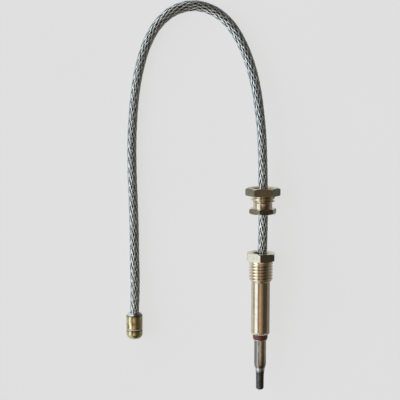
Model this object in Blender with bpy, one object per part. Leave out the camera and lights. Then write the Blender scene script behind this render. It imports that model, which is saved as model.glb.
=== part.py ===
"""Flame sensor probe: a threaded brass probe on a braided lead, with two nuts and a bullet contact.

The object lies on the plane z = 0. The probe points along -Y and its lead leaves along +Y,
turns back in a wide loop and ends in the contact, which points along -Y again. Dimensions are
in millimetres and become metres where a mesh is made. "Below" a datum means further along -Y.
"""

import math

import bmesh
import bpy
from mathutils import Vector

MM = 0.001
SEGMENTS = 32  # sides of a turned piece

# The probe, measured below the top face of its hexagon
PROBE_LENGTH = 46.6
HEAD_ACROSS_FLATS = 9.0
HEAD_THICKNESS = 2.6
HEAD_TURN = -6.0  # degrees from straight up to a corner, towards +X
COLLAR_RADIUS = 3.98
COLLAR_END = 3.15
THREAD_RADIUS = 3.96  # M8 x 1
THREAD_ROOT_RADIUS = 3.4
THREAD_PITCH = 1.0
FIRST_CREST = 3.67
CREST_COUNT = 6
THREAD_END = 9.6
BODY_RADIUS = 3.1
BODY_END = 27.5
BODY_CHAMFER = 0.4
LEAD_BORE_RADIUS = 2.5
LEAD_BORE_DEPTH = 9.4
TUBE_BORE_RADIUS = 2.05

# The copper ring and the braze under the body
RING_RADIUS = 2.48
RING_START = 27.55
RING_END = 29.1
RING_ROUNDING = 0.4
BRAZE_END = 29.5
BRAZE_RADIUS = 2.34

# The sheath tube and the hot junction
TUBE_RADIUS = 2.0
TUBE_WALL = 0.4
TUBE_START = 9.9
TUBE_TAPER_START = 38.2
TUBE_END = 39.4
TUBE_END_RADIUS = 1.75
TIP_START = 39.45
TIP_SHOULDER_RADIUS = 1.68
TIP_CONE_END = 41.6
TIP_RADIUS = 1.26
TIP_DOME_HEIGHT = 0.8
SPIGOT_RADIUS = 1.28
SPIGOT_START = 36.2

# What the probe holds inside
INNER_WIRE_RADIUS = 0.5
COLD_JUNCTION = 12.7  # where the inner leg and the lead's core meet
CORE_RADIUS = 0.4
LEAD_TOP_END = 8.0
FIT = 0.05  # clearance between pieces that are pressed or soldered together

# The two nuts on the lead
NUT_TURN_LOCK = -33.0
NUT_TURN_UNION = -18.0
LOCK_ACROSS_FLATS = 10.0
LOCK_THICKNESS = 2.6
LOCK_TOP = 44.85  # world Y
UNION_TOP = 44.2  # world Y of the end of its thread
UNION_ACROSS_FLATS = 8.0
UNION_HEX_START = 6.1
UNION_HEX_END = 7.9
UNION_NECK_RADIUS = 3.12
UNION_THREAD_ROOT_RADIUS = 3.35
UNION_PITCH = 1.25
UNION_FIRST_CREST = 0.99
UNION_CRESTS = 3
UNION_BORE_RADIUS = 1.85
THREAD_PLAY = 0.15

# The bullet contact, measured below the top of its solder cone
CONTACT_X = -42.12
CONTACT_TOP = 3.05  # world Y
CONTACT_RADIUS = 2.73
CONE_END = 1.25
CONE_TOP_RADIUS = 1.75
SLEEVE_START = 1.3
SLEEVE_END = 5.85
SLEEVE_BORE_RADIUS = 1.8
WASHER_START = 5.9
WASHER_END = 6.2
BUTTON_START = 6.25
BUTTON_END = 9.37
BUTTON_STRAIGHT = 1.2
CONTACT_FLAT_RADIUS = 1.1

# The lead
LEAD_RADIUS = 1.5
LEAD_X = 0.5  # it leans to one side of the probe's bore
LEAD_POINT_SPACING = 6.0

AXIS_Z = HEAD_ACROSS_FLATS / math.sqrt(3) * math.cos(math.radians(HEAD_TURN))
HEAD_TOP = PROBE_LENGTH / 2
CONTACT_Z = CONTACT_RADIUS + 0.02
TABLE_Z = LEAD_RADIUS + 0.02

# The lead's centreline from the probe to the contact, as world points
LEAD_ROUTE = [
    (0.0, HEAD_TOP - LEAD_TOP_END, AXIS_Z),
    (0.03, 17.5, AXIS_Z),
    (0.46, 22.2, AXIS_Z),
    (LEAD_X, 25.0, AXIS_Z),
    (LEAD_X + 0.15, 36.0, AXIS_Z),
    (LEAD_X, 48.0, AXIS_Z),
    (0.28, 56.0, AXIS_Z),
    (-0.05, 62.5, 5.0),
    (-0.7, 69.0, 4.5),
    (-1.68, 76.0, 3.75),
    (-3.4, 83.5, 2.9),
    (-6.17, 90.9, 2.15),
    (-10.12, 97.44, 1.7),
    (-15.47, 101.93, TABLE_Z),
    (-22.0, 103.7, TABLE_Z),
    (-28.6, 102.1, TABLE_Z),
    (-33.9, 97.6, TABLE_Z),
    (-37.6, 91.0, TABLE_Z),
    (-39.9, 83.5, TABLE_Z),
    (-41.3, 76.0, TABLE_Z),
    (-42.1, 68.0, TABLE_Z),
    (-42.55, 59.0, TABLE_Z),
    (-42.55, 49.5, TABLE_Z),
    (-42.27, 40.0, TABLE_Z),
    (-42.05, 30.5, TABLE_Z),
    (-41.98, 21.5, 1.75),
    (-41.83, 14.0, 2.25),
    (-41.87, 8.0, 2.62),
    (-42.0, 4.0, CONTACT_Z),
    (CONTACT_X, 0.8, CONTACT_Z),
]

BRASS = ("brass", (0.78, 0.58, 0.27), 0.28, 1.0)
NUT_BRASS = ("nut brass", (0.62, 0.5, 0.27), 0.42, 1.0)
STEEL = ("stainless steel", (0.5, 0.49, 0.47), 0.3, 1.0)
BURNT_ALLOY = ("burnt alloy", (0.09, 0.09, 0.1), 0.35, 0.8)
COPPER = ("oxidised copper", (0.36, 0.1, 0.08), 0.5, 0.6)
BRAZE = ("braze", (0.85, 0.74, 0.55), 0.3, 1.0)
SOLDER = ("solder", (0.63, 0.63, 0.62), 0.35, 1.0)
BRAID = ("tinned braid", (0.6, 0.62, 0.63), 0.35, 1.0)
THERMO_WIRE = ("thermocouple wire", (0.55, 0.5, 0.45), 0.35, 1.0)
COPPER_WIRE = ("copper wire", (0.8, 0.42, 0.26), 0.3, 1.0)
CERAMIC = ("ceramic", (0.85, 0.83, 0.78), 0.6, 0.0)
INSULATION = ("insulation", (0.86, 0.82, 0.74), 0.55, 0.0)


def clear_scene():
    for thing in list(bpy.data.objects):
        bpy.data.objects.remove(thing, do_unlink=True)


def material_for(spec):
    name, colour, roughness, metallic = spec
    material = bpy.data.materials.get(name)
    if material is None:
        material = bpy.data.materials.new(name)
        material.use_nodes = True
        shader = material.node_tree.nodes["Principled BSDF"]
        shader.inputs["Base Color"].default_value = (*colour, 1.0)
        shader.inputs["Roughness"].default_value = roughness
        shader.inputs["Metallic"].default_value = metallic
    return material


def axis_empty(name, x, y, z, parent=None):
    """An empty on the axis of the pieces that it carries, at a world point."""
    empty = bpy.data.objects.new(name, None)
    bpy.context.scene.collection.objects.link(empty)
    empty.parent = parent
    below_parent = parent.location if parent else Vector()
    empty.location = Vector((x, y, z)) * MM - below_parent
    return empty


def add_mesh(name, shape, carrier, spec=None):
    """An object from a bmesh. Without a material it is a helper for a Boolean."""
    mesh = bpy.data.meshes.new(name)
    shape.to_mesh(mesh)
    shape.free()
    thing = bpy.data.objects.new(name, mesh)
    bpy.context.scene.collection.objects.link(thing)
    thing.parent = carrier
    if spec:
        mesh.materials.append(material_for(spec))
        mesh.shade_smooth()
        mesh.set_sharp_from_angle(angle=math.radians(30))
    else:
        thing.hide_render = True
        thing.display_type = "WIRE"
    return thing


def turned(name, outline, carrier, spec=None):
    """A solid of revolution about the carrier's axis. Its outline is (radius, distance below).

    An outline whose two ends are on the axis stays open; any other closes on itself.
    """
    shape = bmesh.new()
    corners = [shape.verts.new((radius * MM, -below * MM, 0)) for radius, below in outline]
    ends = list(zip(corners, corners[1:]))
    if outline[0][0] > 0 or outline[-1][0] > 0:
        ends.append((corners[-1], corners[0]))
    edges = [shape.edges.new(pair) for pair in ends]
    bmesh.ops.spin(shape, geom=corners + edges, cent=(0, 0, 0), axis=(0, 1, 0),
                   angle=math.tau, steps=SEGMENTS, use_merge=True)
    bmesh.ops.remove_doubles(shape, verts=shape.verts, dist=1e-6)
    bmesh.ops.recalc_face_normals(shape, faces=shape.faces)
    return add_mesh(name, shape, carrier, spec)


def ring_outline(inner, outer, start, end):
    return [(inner, start), (outer, start), (outer, end), (inner, end)]


def rod_outline(radius, start, end):
    return [(0, start), (radius, start), (radius, end), (0, end)]


def crest_points(position, crest_radius, root_radius, pitch):
    """One ridge of a 60 degree thread, with its flat crest."""
    return [
        (root_radius, position - 0.38 * pitch),
        (crest_radius, position - 0.1 * pitch),
        (crest_radius, position + 0.1 * pitch),
        (root_radius, position + 0.38 * pitch),
    ]


def boolean(thing, operation, other):
    modifier = thing.modifiers.new(operation.lower(), "BOOLEAN")
    modifier.operation = operation
    modifier.object = other


def hexagon(name, across_flats, start, end, turn, carrier, spec=None):
    """A hexagonal prism with its corners chamfered at 30 degrees at both ends."""
    corner_radius = across_flats / math.sqrt(3)
    face_radius = across_flats / 2 - 0.05
    chamfer = (corner_radius - face_radius) * math.tan(math.radians(30))
    shape = bmesh.new()
    angles = [math.radians(turn + 60 * side) for side in range(6)]
    rims = [
        [
            shape.verts.new(
                (corner_radius * math.sin(a) * MM, -below * MM, corner_radius * math.cos(a) * MM)
            )
            for a in angles
        ]
        for below in (start, end)
    ]
    for rim in rims:
        shape.faces.new(rim)
    for side in range(6):
        after = (side + 1) % 6
        shape.faces.new((rims[0][side], rims[0][after], rims[1][after], rims[1][side]))
    bmesh.ops.recalc_face_normals(shape, faces=shape.faces)
    prism = add_mesh(name, shape, carrier, spec)
    blank = turned(
        name + "_blank",
        [
            (0, start - 0.01),
            (face_radius - 0.02, start - 0.01),
            (corner_radius + 0.1, start + chamfer + 0.05),
            (corner_radius + 0.1, end - chamfer - 0.05),
            (face_radius - 0.02, end + 0.01),
            (0, end + 0.01),
        ],
        carrier,
    )
    boolean(prism, "INTERSECT", blank)
    return prism


def make_probe_body(probe):
    crests = [
        point
        for number in range(CREST_COUNT)
        for point in crest_points(
            FIRST_CREST + number * THREAD_PITCH, THREAD_RADIUS, THREAD_ROOT_RADIUS, THREAD_PITCH
        )
    ]
    outline = [
        (0, HEAD_THICKNESS / 2),
        (COLLAR_RADIUS, HEAD_THICKNESS / 2),
        (COLLAR_RADIUS, COLLAR_END),
        *crests[:-1],
        (BODY_RADIUS, THREAD_END),
        (BODY_RADIUS, BODY_END - BODY_CHAMFER),
        (BODY_RADIUS - BODY_CHAMFER, BODY_END),
        (0, BODY_END),
    ]
    body = turned("probe_body", outline, probe, BRASS)
    head = hexagon("head", HEAD_ACROSS_FLATS, 0, HEAD_THICKNESS, HEAD_TURN, probe)
    bore = turned(
        "bore",
        [
            (0, -1),
            (LEAD_BORE_RADIUS, -1),
            (LEAD_BORE_RADIUS, LEAD_BORE_DEPTH),
            (TUBE_BORE_RADIUS, LEAD_BORE_DEPTH + 0.3),
            (TUBE_BORE_RADIUS, BODY_END + 1),
            (0, BODY_END + 1),
        ],
        probe,
    )
    boolean(body, "UNION", head)
    boolean(body, "DIFFERENCE", bore)


def make_ring_and_braze(probe):
    inner = TUBE_RADIUS + FIT
    turned(
        "copper_ring",
        [
            (inner, RING_START),
            (RING_RADIUS, RING_START),
            (RING_RADIUS, RING_END - RING_ROUNDING),
            (RING_RADIUS - 0.3 * RING_ROUNDING, RING_END - 0.3 * RING_ROUNDING),
            (RING_RADIUS - 0.75 * RING_ROUNDING, RING_END),
            (inner, RING_END),
        ],
        probe,
        COPPER,
    )
    turned(
        "braze_fillet",
        [
            (inner, RING_END + FIT),
            (BRAZE_RADIUS, RING_END + FIT),
            (inner + 0.06, BRAZE_END),
            (inner, BRAZE_END),
        ],
        probe,
        BRAZE,
    )


def make_sheath_and_tip(probe):
    turned(
        "sheath_tube",
        [
            (TUBE_RADIUS - TUBE_WALL, TUBE_START),
            (TUBE_RADIUS, TUBE_START),
            (TUBE_RADIUS, TUBE_TAPER_START),
            (TUBE_END_RADIUS, TUBE_END),
            (TUBE_END_RADIUS - TUBE_WALL, TUBE_END),
            (TUBE_RADIUS - TUBE_WALL, TUBE_TAPER_START),
        ],
        probe,
        STEEL,
    )
    dome_start = PROBE_LENGTH - TIP_DOME_HEIGHT
    dome = [
        (TIP_RADIUS * math.cos(a), dome_start + TIP_DOME_HEIGHT * math.sin(a))
        for a in (math.radians(15 * step) for step in range(6))
    ]
    turned(
        "junction_tip",
        [
            (0, SPIGOT_START),
            (SPIGOT_RADIUS, SPIGOT_START),
            (SPIGOT_RADIUS, TIP_START),
            (TIP_SHOULDER_RADIUS, TIP_START),
            (TIP_RADIUS + 0.04, TIP_CONE_END),
            *dome,
            (0, PROBE_LENGTH),
        ],
        probe,
        BURNT_ALLOY,
    )


def make_inner_parts(probe):
    wire = INNER_WIRE_RADIUS
    tube_bore = TUBE_RADIUS - TUBE_WALL
    turned("inner_leg_wire", rod_outline(wire, COLD_JUNCTION + FIT, SPIGOT_START - FIT),
           probe, THERMO_WIRE)
    turned("ceramic_insulator", ring_outline(wire + 0.1, tube_bore - 0.12, 17.2, 35.8),
           probe, CERAMIC)
    turned("cold_junction_ferrule", ring_outline(wire + FIT, 1.0, 11.3, 14.1), probe, COPPER_WIRE)
    turned("insulating_sleeve", ring_outline(1.1, tube_bore - 0.12, 9.8, 16.8), probe, INSULATION)
    turned("braid_crimp_ferrule", ring_outline(LEAD_RADIUS + 0.2, LEAD_BORE_RADIUS - 0.1, 5.6, 8.6),
           probe, NUT_BRASS)
    turned("core_wire_probe_end", rod_outline(CORE_RADIUS, LEAD_TOP_END + FIT, COLD_JUNCTION - FIT),
           probe, COPPER_WIRE)


def make_union_nut(union_axis):
    """The male nut: hexagon towards the probe, plain neck, then a thread that points up the lead."""
    crests = [
        point
        for number in range(UNION_CRESTS)
        for point in crest_points(
            UNION_FIRST_CREST + number * UNION_PITCH,
            THREAD_RADIUS, UNION_THREAD_ROOT_RADIUS, UNION_PITCH,
        )
    ]
    outline = [
        (0, 0),
        (UNION_THREAD_ROOT_RADIUS - 0.05, 0),
        *crests,
        (UNION_NECK_RADIUS, UNION_FIRST_CREST + (UNION_CRESTS - 0.45) * UNION_PITCH),
        (UNION_NECK_RADIUS, UNION_HEX_START + 0.5),
        (0, UNION_HEX_START + 0.5),
    ]
    nut = turned("union_nut", outline, union_axis, NUT_BRASS)
    head = hexagon("union_head", UNION_ACROSS_FLATS, UNION_HEX_START, UNION_HEX_END,
                   NUT_TURN_UNION, union_axis)
    bore = turned("union_bore", rod_outline(UNION_BORE_RADIUS, -1, UNION_HEX_END + 1), union_axis)
    boolean(nut, "UNION", head)
    boolean(nut, "DIFFERENCE", bore)


def make_lock_nut(lock_axis):
    """The female nut. Its thread is a groove that clears the union nut's crest all round."""
    above = LOCK_TOP - UNION_TOP
    crest = above + UNION_FIRST_CREST
    groove = THREAD_RADIUS + THREAD_PLAY
    ridge = UNION_THREAD_ROOT_RADIUS + 0.27
    nut = hexagon("lock_nut", LOCK_ACROSS_FLATS, 0, LOCK_THICKNESS, NUT_TURN_LOCK, lock_axis,
                  NUT_BRASS)
    bore = turned(
        "lock_bore",
        [
            (0, -1),
            (groove + 0.2, -1),
            (groove + 0.2, 0),
            (ridge, above),
            (ridge, crest - 0.4 * UNION_PITCH),
            (groove, crest - 0.12 * UNION_PITCH),
            (groove, crest + 0.12 * UNION_PITCH),
            (ridge, crest + 0.4 * UNION_PITCH),
            (ridge, crest + 0.6 * UNION_PITCH),
            (groove + 0.03, LOCK_THICKNESS),
            (groove + 0.03, LOCK_THICKNESS + 1),
            (0, LOCK_THICKNESS + 1),
        ],
        lock_axis,
    )
    boolean(nut, "DIFFERENCE", bore)


def make_contact(contact):
    lead_fit = LEAD_RADIUS + 0.12
    turned(
        "solder_cone",
        [
            (lead_fit, 0),
            (CONE_TOP_RADIUS, 0),
            (CONTACT_RADIUS - 0.12, CONE_END - 0.1),
            (CONTACT_RADIUS - 0.12, CONE_END),
            (lead_fit, CONE_END),
        ],
        contact,
        SOLDER,
    )
    turned("contact_sleeve",
           ring_outline(SLEEVE_BORE_RADIUS, CONTACT_RADIUS, SLEEVE_START, SLEEVE_END),
           contact, BRASS)
    turned("insulating_bush",
           ring_outline(CORE_RADIUS + 0.1, SLEEVE_BORE_RADIUS - FIT, 2.6, SLEEVE_END - FIT),
           contact, INSULATION)
    turned("insulating_washer",
           ring_outline(CORE_RADIUS + 0.1, CONTACT_RADIUS - 0.03, WASHER_START, WASHER_END),
           contact, INSULATION)
    wire_end = BUTTON_START + 1.2
    turned("core_wire_contact_end",
           rod_outline(CORE_RADIUS, CONTACT_TOP - 0.8 + FIT, wire_end - FIT),
           contact, COPPER_WIRE)
    shoulder = BUTTON_START + BUTTON_STRAIGHT
    rounding_depth = BUTTON_END - shoulder
    rounding = [
        (
            CONTACT_FLAT_RADIUS + (CONTACT_RADIUS - CONTACT_FLAT_RADIUS) * math.cos(a),
            shoulder + rounding_depth * math.sin(a),
        )
        for a in (math.radians(18 * step) for step in range(6))
    ]
    turned(
        "contact_button",
        [
            (0, wire_end),
            (CORE_RADIUS + 0.1, wire_end),
            (CORE_RADIUS + 0.1, BUTTON_START),
            (CONTACT_RADIUS, BUTTON_START),
            *rounding,
            (0, BUTTON_END),
        ],
        contact,
        BRASS,
    )


def smooth_points(route, spacing):
    """Evenly spaced points on a Catmull-Rom curve through the route."""
    knots = [Vector(point) for point in route]
    knots = [2 * knots[0] - knots[1], *knots, 2 * knots[-1] - knots[-2]]
    dense = []
    for before, start, end, after in zip(knots, knots[1:], knots[2:], knots[3:]):
        for step in range(24):
            t = step / 24
            dense.append(
                0.5 * (2 * start + (end - before) * t
                       + (2 * before - 5 * start + 4 * end - after) * t**2
                       + (3 * start - before - 3 * end + after) * t**3)
            )
    dense.append(knots[-2])
    travelled = [0.0]
    for here, there in zip(dense, dense[1:]):
        travelled.append(travelled[-1] + (there - here).length)
    count = round(travelled[-1] / spacing)
    points, index = [], 0
    for number in range(count + 1):
        target = travelled[-1] * number / count
        while index < len(dense) - 2 and travelled[index + 1] < target:
            index += 1
        share = (target - travelled[index]) / (travelled[index + 1] - travelled[index])
        points.append(dense[index].lerp(dense[index + 1], share))
    return points


def make_lead():
    curve = bpy.data.curves.new("lead_cable", "CURVE")
    curve.dimensions = "3D"
    curve.bevel_depth = LEAD_RADIUS * MM
    curve.bevel_resolution = 2
    curve.use_fill_caps = True
    points = smooth_points(LEAD_ROUTE, LEAD_POINT_SPACING)
    spline = curve.splines.new("POLY")
    spline.points.add(len(points) - 1)
    for place, point in zip(spline.points, points):
        place.co = (*(point * MM), 1.0)
    curve.materials.append(material_for(BRAID))
    lead = bpy.data.objects.new("lead_cable", curve)
    bpy.context.scene.collection.objects.link(lead)


def main():
    clear_scene()
    probe = axis_empty("probe_axis", 0, HEAD_TOP, AXIS_Z)
    make_probe_body(probe)
    make_ring_and_braze(probe)
    make_sheath_and_tip(probe)
    make_inner_parts(probe)
    make_lead()
    union_axis = axis_empty("union_axis", LEAD_X, UNION_TOP, AXIS_Z)
    make_union_nut(union_axis)
    lock_axis = axis_empty("lock_axis", LEAD_X, LOCK_TOP, AXIS_Z, union_axis)
    make_lock_nut(lock_axis)
    contact = axis_empty("contact_axis", CONTACT_X, CONTACT_TOP, CONTACT_Z)
    make_contact(contact)


main()
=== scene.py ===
"""Looks of the flame sensor probe: its woven lead, turned brass pieces, fired tip and materials.

Lengths are in millimetres and become metres where an object is made. "Below" a piece's top means
further along -Y, and an angle about a piece's axis runs from +Z towards +X, as in the CAD model.
An outline is a list of (radius, below, rounding). A piece's own sizes stand above its function.
"""

import math
import random

import bmesh
import bpy
import numpy as np
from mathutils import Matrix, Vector


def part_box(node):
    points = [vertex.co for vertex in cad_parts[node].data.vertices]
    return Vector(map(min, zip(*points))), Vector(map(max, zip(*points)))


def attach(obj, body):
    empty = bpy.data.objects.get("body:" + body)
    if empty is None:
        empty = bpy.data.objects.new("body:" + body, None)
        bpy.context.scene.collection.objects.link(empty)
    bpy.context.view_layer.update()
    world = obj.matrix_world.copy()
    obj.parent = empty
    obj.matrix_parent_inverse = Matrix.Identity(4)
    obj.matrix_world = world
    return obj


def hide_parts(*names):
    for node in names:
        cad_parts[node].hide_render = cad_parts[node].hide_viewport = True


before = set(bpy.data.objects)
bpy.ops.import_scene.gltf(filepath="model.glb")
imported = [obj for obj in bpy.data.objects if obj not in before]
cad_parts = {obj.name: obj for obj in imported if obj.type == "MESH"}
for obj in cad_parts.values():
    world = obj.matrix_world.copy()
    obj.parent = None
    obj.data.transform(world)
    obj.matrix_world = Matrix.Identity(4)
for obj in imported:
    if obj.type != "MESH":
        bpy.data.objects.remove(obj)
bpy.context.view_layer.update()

MM = 0.001
SEED = 276
PROBE_BODY = "probe_and_lead"  # the body that all pieces but the two nuts ride on

# The camera looks almost straight down, from a little towards the top of the lead's loop
LENS = 80.0
SENSOR_WIDTH = 36.0
NEAR_CLIP = 5.0
CAMERA_TARGET = (-20.1, 40.8)
CAMERA_DISTANCE = 291.44
CAMERA_TILT = 6.6  # degrees from straight down

# How finely shapes are made
CORNER_STEPS = 4  # straight pieces in each small curve that rounds a corner
CORNER_REACH = 0.45  # the most that such a curve takes of the line on either side of it
FLAT_COLUMNS = 19  # mesh columns on each flat of a hexagon, apart from its corners'
ROUND_COLUMNS = 128
ROWS_PER_PITCH = 16
ROUTE_STEPS = 24  # points between two of the lead's route, before they are spaced evenly
MERGE_DISTANCE = 0.0001

# Roundings of machined edges
FINE_EDGE = 0.03
EDGE = 0.05
FLAT_EDGE = 0.06
HEX_CORNER_ROUNDING = 0.12


def node_axis(name):
    """The x and z of a turned CAD node's axis, and the y of its top."""
    low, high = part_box(name)
    return (low.x + high.x) / 2 / MM, (low.z + high.z) / 2 / MM, high.y / MM


def node_length(name):
    low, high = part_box(name)
    return (high.y - low.y) / MM


PROBE_X, AXIS_Z, HEAD_TOP = node_axis("probe_body")
CONTACT_X, CONTACT_Z = node_axis("solder_cone")[:2]

# The lead, on the CAD model's route
LEAD_RADIUS = 1.5
LEAD_X = 0.5
TABLE_Z = LEAD_RADIUS + 0.02

LEAD_ROUTE = [
    (0.0, 15.3, AXIS_Z),
    (0.03, 17.5, AXIS_Z),
    (0.46, 22.2, AXIS_Z),
    (LEAD_X, 25.0, AXIS_Z),
    (LEAD_X + 0.15, 36.0, AXIS_Z),
    (LEAD_X, 48.0, AXIS_Z),
    (0.28, 56.0, AXIS_Z),
    (-0.05, 62.5, 5.0),
    (-0.7, 69.0, 4.5),
    (-1.68, 76.0, 3.75),
    (-3.4, 83.5, 2.9),
    (-6.17, 90.9, 2.15),
    (-10.12, 97.44, 1.7),
    (-15.47, 101.93, TABLE_Z),
    (-22.0, 103.7, TABLE_Z),
    (-28.6, 102.1, TABLE_Z),
    (-33.9, 97.6, TABLE_Z),
    (-37.6, 91.0, TABLE_Z),
    (-39.9, 83.5, TABLE_Z),
    (-41.3, 76.0, TABLE_Z),
    (-42.1, 68.0, TABLE_Z),
    (-42.55, 59.0, TABLE_Z),
    (-42.55, 49.5, TABLE_Z),
    (-42.27, 40.0, TABLE_Z),
    (-42.05, 30.5, TABLE_Z),
    (-41.98, 21.5, 1.75),
    (-41.83, 14.0, 2.25),
    (-41.87, 8.0, 2.62),
    (-42.0, 4.0, CONTACT_Z),
    (CONTACT_X, 0.8, CONTACT_Z),
]

# The braid: ten flat bundles of wires wound each way, each over one and under one
BUNDLES = 10
LAY = 32.0  # length of one turn of a bundle
BUNDLE_WIDTH = 0.53
BUNDLE_THICKNESS = 0.18
EDGE_THINNING = 0.5  # how much thinner a bundle is at its edges, as a share
BUNDLE_WANDER = 0.05  # radians that a bundle strays from its even winding
BUNDLE_WAVES = (31.0, 13.0, 7.3)
WIRES = 3
WIRE_RELIEF = 0.045
WEAVE_RADIUS = 1.30
WEAVE_DEPTH = 0.11
SAMPLES_PER_CROSSING = 4
LINER_RADIUS = 1.0
LINER_SIDES = 16
LINER_STEP = 2  # the liner has a ring at every second point of the lead's line
# Tones of the braid, from 0 for its dark dips to 1 for its bright crests: its wires differ at random,
# and painted shade darkens its dips and the grooves between its wires
DULLEST_WIRE = 0.76
TONE_WANDER = 0.2
TONE_WAVES = (23.0, 9.0, 4.1)
# Painted shade: GROOVE_DARKNESS between a bundle's wires, DIP_DARKNESS where it dips under the others
GROOVE_DARKNESS = 0.2  # between the wires of a bundle
DIP_DARKNESS = 0.25
# The liner's tone picks its near-black colour, which is painted shade in the braid's gaps
LINER_TONE = -1.0
# How much wider the braid is at each distance along the lead: it opened where the lead was bent
BRAID_SWELL = [
    (0, 1.02), (8, 1.06), (28, 1.06), (40, 1.02), (55, 1.04), (68, 1.11), (90, 1.14), (97, 1.2),
    (103, 1.23), (108, 1.18), (114, 1.1), (124, 1.05), (138, 1.0), (152, 1.04), (170, 1.04),
    (186, 1.07), (198, 1.1), (206, 1.0),
]
SWELL_REACH = 4  # each of those widths is spread over this distance either way


# ---------------------------------------------------------------- the lead


def distances_along(line):
    steps = np.linalg.norm(np.diff(line, axis=0), axis=1)
    return np.concatenate(([0.0], np.cumsum(steps)))


def smooth_line(route, spacing):
    """Evenly spaced points, as an array, on a Catmull-Rom curve through the route."""
    knots = [np.array(point) for point in route]
    knots = [2 * knots[0] - knots[1], *knots, 2 * knots[-1] - knots[-2]]
    dense = []
    for before, start, end, after in zip(knots, knots[1:], knots[2:], knots[3:]):
        for step in range(ROUTE_STEPS):
            t = step / ROUTE_STEPS
            dense.append(
                0.5 * (2 * start + (end - before) * t
                       + (2 * before - 5 * start + 4 * end - after) * t**2
                       + (3 * start - before - 3 * end + after) * t**3)
            )
    dense.append(knots[-2])
    dense = np.array(dense)
    travelled = distances_along(dense)
    count = round(travelled[-1] / spacing)
    targets = np.linspace(0, travelled[-1], count + 1)
    return np.stack([np.interp(targets, travelled, dense[:, axis]) for axis in range(3)], axis=1)


def frames_along(line):
    """Two directions across the line at each of its points, which don't twist round it."""
    tangents = np.gradient(line, axis=0)
    tangents /= np.linalg.norm(tangents, axis=1)[:, None]
    across = np.cross(tangents[0], (0, 0, 1))
    sides = []
    for tangent in tangents:
        across = across - tangent * across.dot(tangent)
        across /= np.linalg.norm(across)
        sides.append(across)
    sides = np.array(sides)
    return sides, np.cross(tangents, sides)


def wander(distance, size, wavelengths, dice):
    """A slow irregular curve of that size along the lead."""
    total = np.zeros_like(distance)
    for wavelength in wavelengths:
        total += np.sin(math.tau * (distance / wavelength + dice.random()))
    return size * total / len(wavelengths)


def swell_at(distance):
    """The braid's width at each distance, as a share of its width where it is straight."""
    marks, shares = zip(*BRAID_SWELL)
    steps = np.linspace(-SWELL_REACH, SWELL_REACH, 2 * SWELL_REACH + 1)
    return np.mean([np.interp(distance + step, marks, shares) for step in steps], axis=0)


def bundle_section():
    """A bundle's section as (share of half its width, height), with a ridge for each wire."""
    points = []
    for index in range(2 * WIRES + 1):
        share = index / WIRES - 1
        crown = 0.5 * BUNDLE_THICKNESS * (1 - EDGE_THINNING * share**4)
        points.append((share, crown - (0 if index % 2 else WIRE_RELIEF)))
    underside = -0.5 * BUNDLE_THICKNESS
    points.append((0.0, underside))
    return np.array(points)


def woven_bundle(number, direction, distance, dice):
    """Angles, radii and tones of one bundle's points, as arrays of distance by section."""
    section = bundle_section()
    half_angle = BUNDLE_WIDTH / 2 / math.cos(math.atan(math.tau * WEAVE_RADIUS / LAY)) / WEAVE_RADIUS
    offsets = section[:, 0] * half_angle
    middle = math.tau * (direction * distance / LAY + number / BUNDLES)
    middle = middle + wander(distance, BUNDLE_WANDER, BUNDLE_WAVES, dice)
    phase = math.tau * BUNDLES * distance[:, None] / LAY + direction * offsets[None, :] * BUNDLES / 2
    weave = direction * np.sin(math.pi / 2 * np.cos(phase))
    swell = swell_at(distance)[:, None]
    radii = swell * WEAVE_RADIUS + WEAVE_DEPTH * weave + section[None, :, 1]
    angles = middle[:, None] + offsets[None, :] / swell
    return angles, radii, bundle_tones(len(section), weave, distance, dice)


def bundle_tones(count, weave, distance, dice):
    """Tones of a bundle's points: its wires differ, and painted shade darkens it between them and in
    its dips.
    """
    wires = [DULLEST_WIRE + (1 - DULLEST_WIRE) * dice.random() for _ in range(WIRES)]
    tones = []
    for index in range(count):
        wire = wires[min(index // 2, WIRES - 1)]
        along = wander(distance, TONE_WANDER, TONE_WAVES, dice)
        tones.append(wire + along - (0 if index % 2 else GROOVE_DARKNESS))
    return np.clip(np.array(tones).T + DIP_DARKNESS * (weave - 1), 0, 1)


def tube_faces(rings, sides, start):
    """Faces of a tube of rings of that many points, closed at both ends."""
    faces = []
    for ring in range(rings - 1):
        here = start + ring * sides
        for side in range(sides):
            after = (side + 1) % sides
            faces.append((here + side, here + after, here + sides + after, here + sides + side))
    faces.append(tuple(range(start, start + sides))[::-1])
    last = start + (rings - 1) * sides
    faces.append(tuple(range(last, last + sides)))
    return faces


def points_about(line, sides, ups, angles, radii):
    """Points at those angles and radii about each point of the line."""
    return (line[:, None, :]
            + (radii * np.cos(angles))[..., None] * sides[:, None, :]
            + (radii * np.sin(angles))[..., None] * ups[:, None, :])


def braid_tubes(line, travelled):
    """Points and tones of each bundle and of the liner, as arrays of distance by section."""
    dice = random.Random(SEED)
    sides, ups = frames_along(line)
    tubes = []
    for direction in (1, -1):
        for number in range(BUNDLES):
            angles, radii, tones = woven_bundle(number, direction, travelled, dice)
            tubes.append((points_about(line, sides, ups, angles, radii), tones))
    rings = slice(None, None, LINER_STEP)
    turns = np.linspace(0, math.tau, LINER_SIDES, endpoint=False)[None, :]
    radii = LINER_RADIUS * swell_at(travelled[rings])[:, None]
    liner = points_about(line[rings], sides[rings], ups[rings], turns, radii)
    tubes.append((liner, np.full(liner.shape[:2], LINER_TONE)))
    return tubes


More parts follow.
